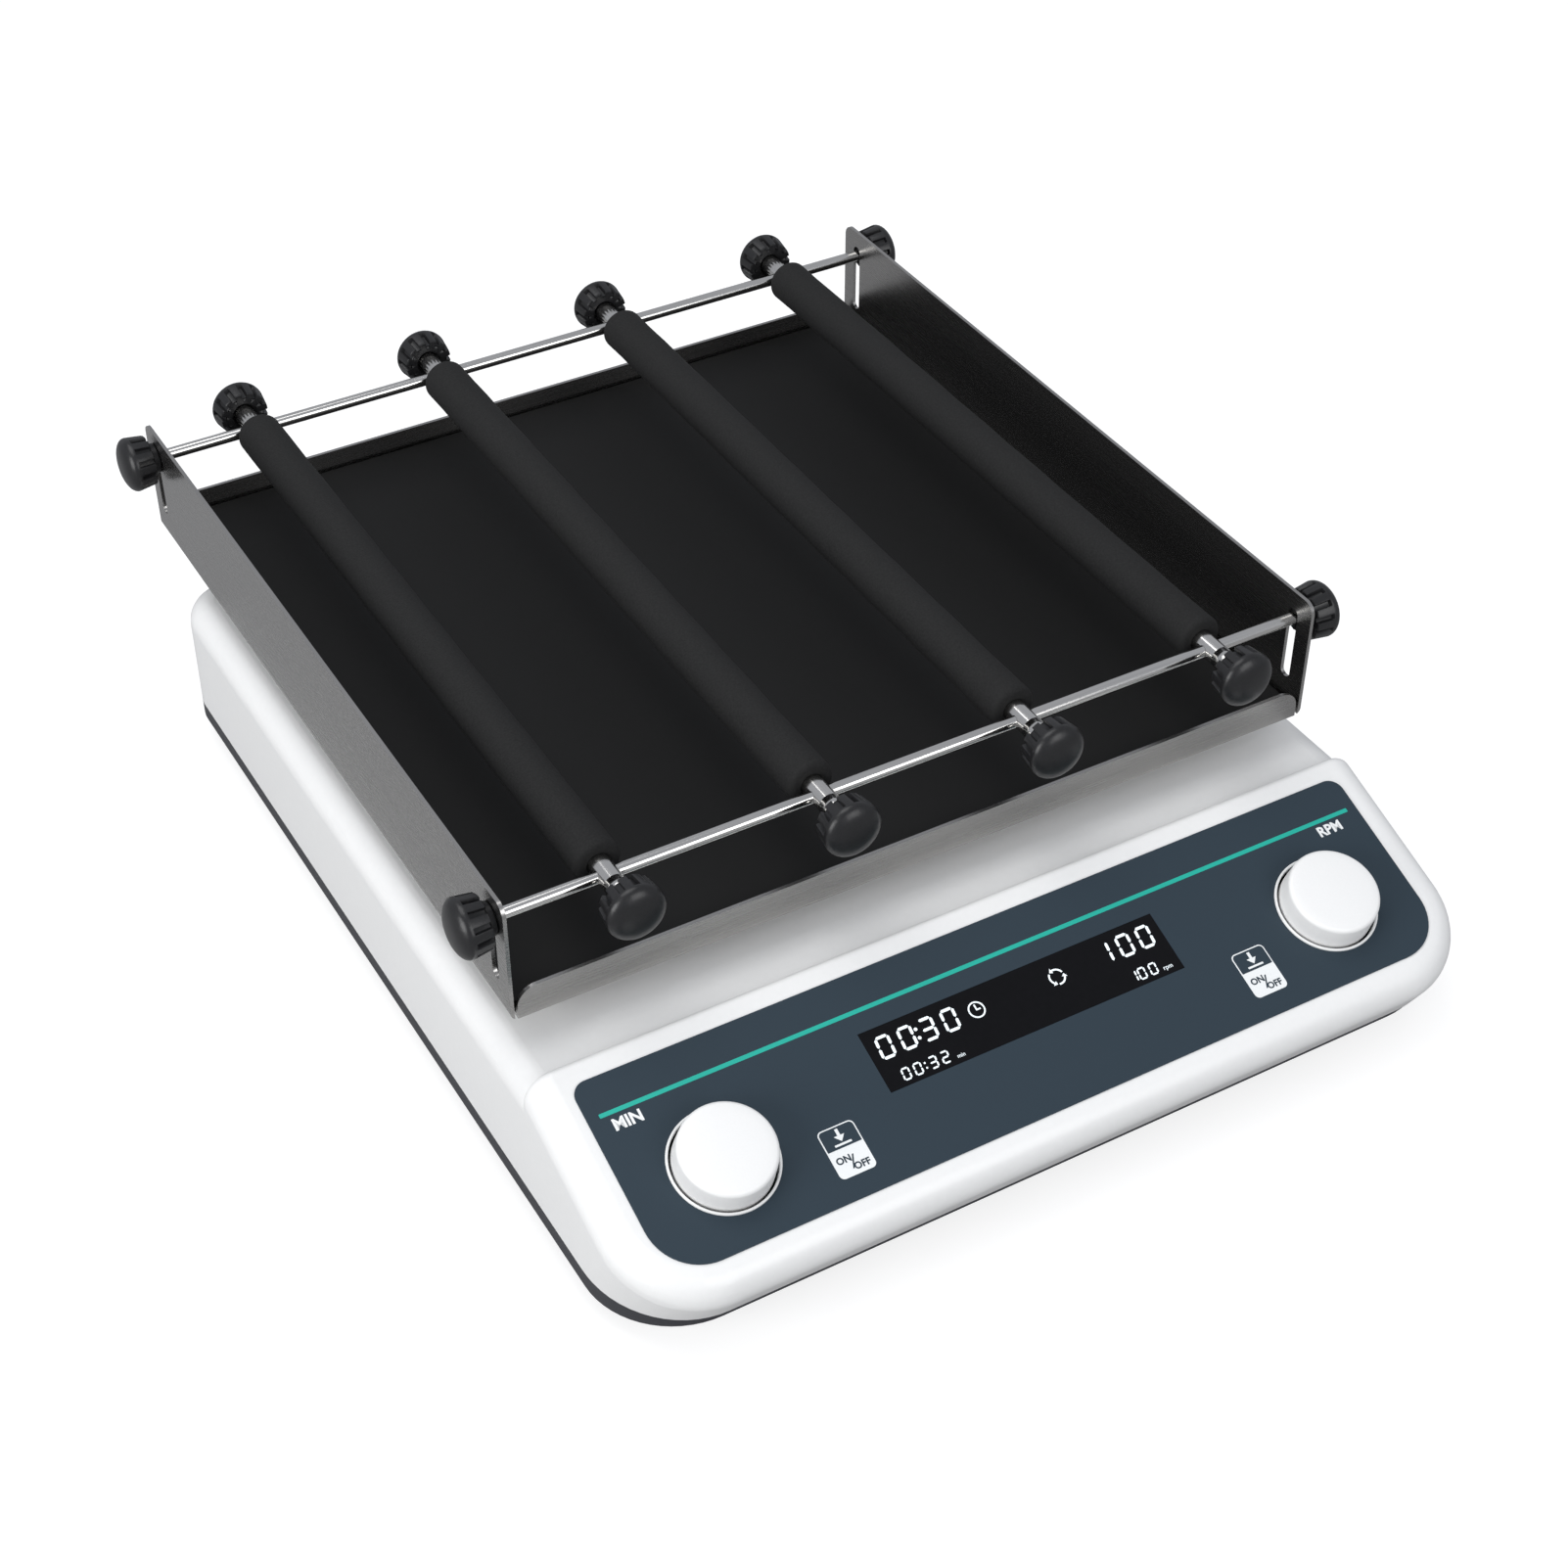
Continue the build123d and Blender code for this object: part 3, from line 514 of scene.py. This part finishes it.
crown_wide = knob_narrow - edge
crown_steps = 6
cap_line = [(shaft_hole, knob_low), (knob_wide - chamfer, knob_low), (knob_wide, knob_low + chamfer)]
cap_line += [(knob_wide - 0.0001, 0.0020), (knob_wide - 0.0003, 0.0060)]
cap_line += corner_arc(crown_wide, knob_high - crown_rise - edge, edge, 0, 80)
for k in range(1, crown_steps + 1):
    share = 1 - k / crown_steps
    cap_line.append((crown_wide * share, knob_high - crown_rise * share * share))
ring_line = [(ring_bore, film_thick - 0.0002), (ring_middle - ring_half, ring_high)]
ring_line += corner_arc(ring_middle, ring_high, ring_half, 180, 0, 8)
ring_line += [(ring_middle + ring_half, film_thick)]
for word, side, body in (("time", -1, "time_push"), ("speed", 1, "speed_push")):
    place = on_face(side * knob_place_x, knob_place_y)
    cap = turned(f"{word}_cap", cap_line, body, knob_white, place)
    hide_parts(f"{word}_knob")
    turned(f"{word}_ring", ring_line, "base", knob_white, place)

# Tray
# One sheet of brushed stainless steel, folded up at the sides and along the front and
# the back. The brush marks run along the sheet, and it mirrors the dark mat softly.
sheet_steel = finish("tray_steel", (0.40, 0.392, 0.382), 0.27, grain=300, depth=0.0000006, spread=0.03,
                     shade=0.05, metal=1.0, stretch=(0.05, 0.05, 5))
dress(sheet_steel, "tray_pan")

# Rubber mat
# A black rubber sheet with a fine matt texture, loose in the tray.
mat_rubber = finish("mat_rubber", (0.0075, 0.0075, 0.0075), 0.62, grain=2400, depth=0.00003, spread=0.08,
                    shade=0.25, sheen=0.2)
dress(mat_rubber, "tray_mat")

# Cross rods and bar tubes
# Polished stainless round stock, drawn, with very fine marks along its length.
polished = finish("polished_rod", (0.66, 0.65, 0.63), 0.14, grain=120, depth=0.000002, spread=0.04,
                  shade=0.06, metal=1.0, stretch=(0.2, 12, 12))
dress(polished, "front_cross_rod", "back_cross_rod")
drawn = finish("drawn_tube", (0.66, 0.65, 0.63), 0.16, grain=120, depth=0.000002, spread=0.05, shade=0.06,
               metal=1.0, stretch=(12, 0.2, 12))
bars = range(1, 5)
dress(drawn, *[f"bar_{i}_tube" for i in bars])

# Foam sleeves
# Closed-cell black foam tube pushed over each bar. Its skin is dull and slightly
# uneven, and its cut ends are softly rounded.
foam_skin = finish("foam_skin", (0.015, 0.015, 0.015), 0.82, grain=1300, depth=0.0001, spread=0.06,
                   shade=0.35, sheen=0.25)
foam_play = 0.0002
soft = 0.0022
wave_high = 0.00012
wave_steps = 24
for i in bars:
    low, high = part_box(f"bar_{i}_foam")
    tube_low, tube_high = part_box(f"bar_{i}_tube")
    middle = (low + high) / 2
    radius = (high.x - low.x) / 2
    bore = (tube_high.x - tube_low.x) / 2
    span = high.y - low.y
    line = [(bore + foam_play, 0.0)]
    line += corner_arc(radius - soft, soft, soft, -90, 0)
    for k in range(1, wave_steps):
        along = soft + (span - 2 * soft) * k / wave_steps
        line.append((radius - wave_high * (1 + math.sin(k * 2.1 + i)), along))
    line += corner_arc(radius - soft, span - soft, soft, 0, 90)
    line += [(bore + foam_play, span)]
    place = Matrix.Translation((middle.x, low.y, middle.z)) @ Matrix.Rotation(math.radians(-90), 4, "X")
    sleeve = turned(f"bar_{i}_sleeve", line, f"bar_{i}", foam_skin, place, steps=48, closed=True)
    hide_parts(f"bar_{i}_foam")

# Ferrules
# The front end of every bar carries a short length of the same polished tube past the
# cross rod, up to the knob that clamps the rod.
ferrule_reach = 0.0140
ferrule_bore = 0.0026
low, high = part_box("front_cross_rod")
front_line = (low.y + high.y) / 2
for i in bars:
    low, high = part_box(f"bar_{i}_tube")
    middle = (low + high) / 2
    wide = (high.x - low.x) / 2
    bare = ferrule_reach - (front_line - low.y)
    line = [(ferrule_bore, 0.0), (wide, 0.0), (wide, bare), (ferrule_bore, bare)]
    place = Matrix.Translation((middle.x, low.y, middle.z)) @ Matrix.Rotation(math.radians(90), 4, "X")
    ferrule = turned(f"bar_{i}_ferrule", line, f"bar_{i}", drawn, place, steps=64, closed=True)
    ferrule.data.shade_flat()
    for face in ferrule.data.polygons:
        face.use_smooth = abs(face.normal.y) < 0.5

# Star knobs
# Black moulded knobs with a softly domed cap over a skirt of square teeth that widens
# towards the cap, one at each end of every bar and of both cross rods.
star_black = finish("star_black", (0.014, 0.014, 0.015), 0.32, grain=1700, depth=0.00002, spread=0.07,
                    shade=0.25, sheen=0.4)
rim_wide = 0.0106
star_wide = 0.0117
skirt_long = 0.0080
dome_high = 0.0050
notch_long = 0.0072
tooth_depth = 0.0020
teeth = 12
inner_rim = 0.0020
lead_in = 0.0012
small_edge = 0.0004
dome_steps = 10
dome_power = 0.8
corner_hub_wide = 0.0065
back_reach = 0.0125
front_hub_long = 0.0003
recess_play = 0.0002


def star_mesh(hub_wide, hub_long, recess_wide=0.0, recess_deep=0.0):
    """Knob along +Z with its seat on the origin: a hub or a recess, the toothed skirt and the dome."""
    if recess_deep:
        floor = hub_long + recess_deep
        rows = [(0.0, floor, 0), (recess_wide, floor, 0), (recess_wide, hub_long + lead_in, 0),
                (recess_wide + lead_in, hub_long, 0)]
    else:
        rows = [(0.0, 0.0, 0), (hub_wide - small_edge, 0.0, 0), (hub_wide, small_edge, 0),
                (hub_wide, hub_long, 0)]
    slope_out = (star_wide - rim_wide) / skirt_long
    rows += [(rim_wide - inner_rim, hub_long, 0), (rim_wide - small_edge, hub_long, 1)]
    for z in (small_edge, notch_long - 0.0002):
        rows.append((rim_wide + slope_out * z, hub_long + z, 1))
    rows.append((rim_wide + slope_out * notch_long, hub_long + notch_long, 0))
    crown = hub_long + skirt_long
    for k in range(dome_steps + 1):
        rise = math.radians(90 * k / dome_steps)
        radius = star_wide * math.cos(rise) ** dome_power if k < dome_steps else 0.0
        rows.append((radius, crown + dome_high * math.sin(rise), 0))

    # Places round one tooth, as shares of its pitch, each with 1 where the notch is cut.
    marks = ((0.0, 0), (0.24, 0), (0.48, 0), (0.56, 0), (0.58, 1), (0.78, 1), (0.98, 1))
    angles = [math.radians(360 / teeth * (tooth + place)) for tooth in range(teeth) for place, deep in marks]
    cut = [deep for tooth in range(teeth) for place, deep in marks]
    verts, rings = [], []
    for radius, z, notched in rows:
        if radius == 0.0:
            rings.append([len(verts)])
            verts.append((0, 0, z))
            continue
        rings.append(list(range(len(verts), len(verts) + len(angles))))
        for angle, deep in zip(angles, cut):
            here = radius - tooth_depth if notched and deep else radius
            verts.append((here * math.cos(angle), here * math.sin(angle), z))
    return verts, skin(rings)


low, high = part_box("back_cross_rod")
back_line = (low.y + high.y) / 2
stars = []
for corner in ("front_left", "front_right", "back_left", "back_right"):
    low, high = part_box(f"corner_knob_{corner}")
    middle = (low + high) / 2
    side = -1 if corner.endswith("left") else 1
    seat = Vector((low.x if side > 0 else high.x, middle.y, middle.z))
    body = "corner_" + "".join(word[0] for word in corner.split("_"))
    hub_long = high.x - low.x - skirt_long - dome_high
    stars.append((f"corner_knob_{corner}", body, seat, Matrix.Rotation(math.radians(90 * side), 4, "Y"),
                  (corner_hub_wide, hub_long)))
for i in bars:
    low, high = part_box(f"bar_{i}_tube")
    middle = (low + high) / 2
    wide = (high.x - low.x) / 2
    seat = Vector((middle.x, front_line - ferrule_reach, middle.z))
    stars.append((f"bar_{i}_front_knob", f"bar_{i}_front", seat, Matrix.Rotation(math.radians(90), 4, "X"),
                  (wide, front_hub_long)))
    seat = Vector((middle.x, back_line + back_reach, middle.z))
    stars.append((f"bar_{i}_back_knob", f"bar_{i}_back", seat, Matrix.Rotation(math.radians(-90), 4, "X"),
                  (0.0, 0.0, wide + recess_play, high.y - seat.y + recess_play)))
for number, (name, body, seat, turn, form) in enumerate(stars):
    spin = Matrix.Rotation(math.radians(7 + 13 * number), 4, "Z")
    star_verts, star_faces = star_mesh(*form)
    star = piece(name.replace("knob", "star"), star_verts, star_faces, body, star_black,
                 Matrix.Translation(seat) @ turn @ spin, smooth=True)
    edges = star.modifiers.new("edges", "BEVEL")
    edges.width = 0.00022
    edges.segments = 2
    edges.limit_method = "ANGLE"
    edges.angle_limit = math.radians(35)
    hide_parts(name)
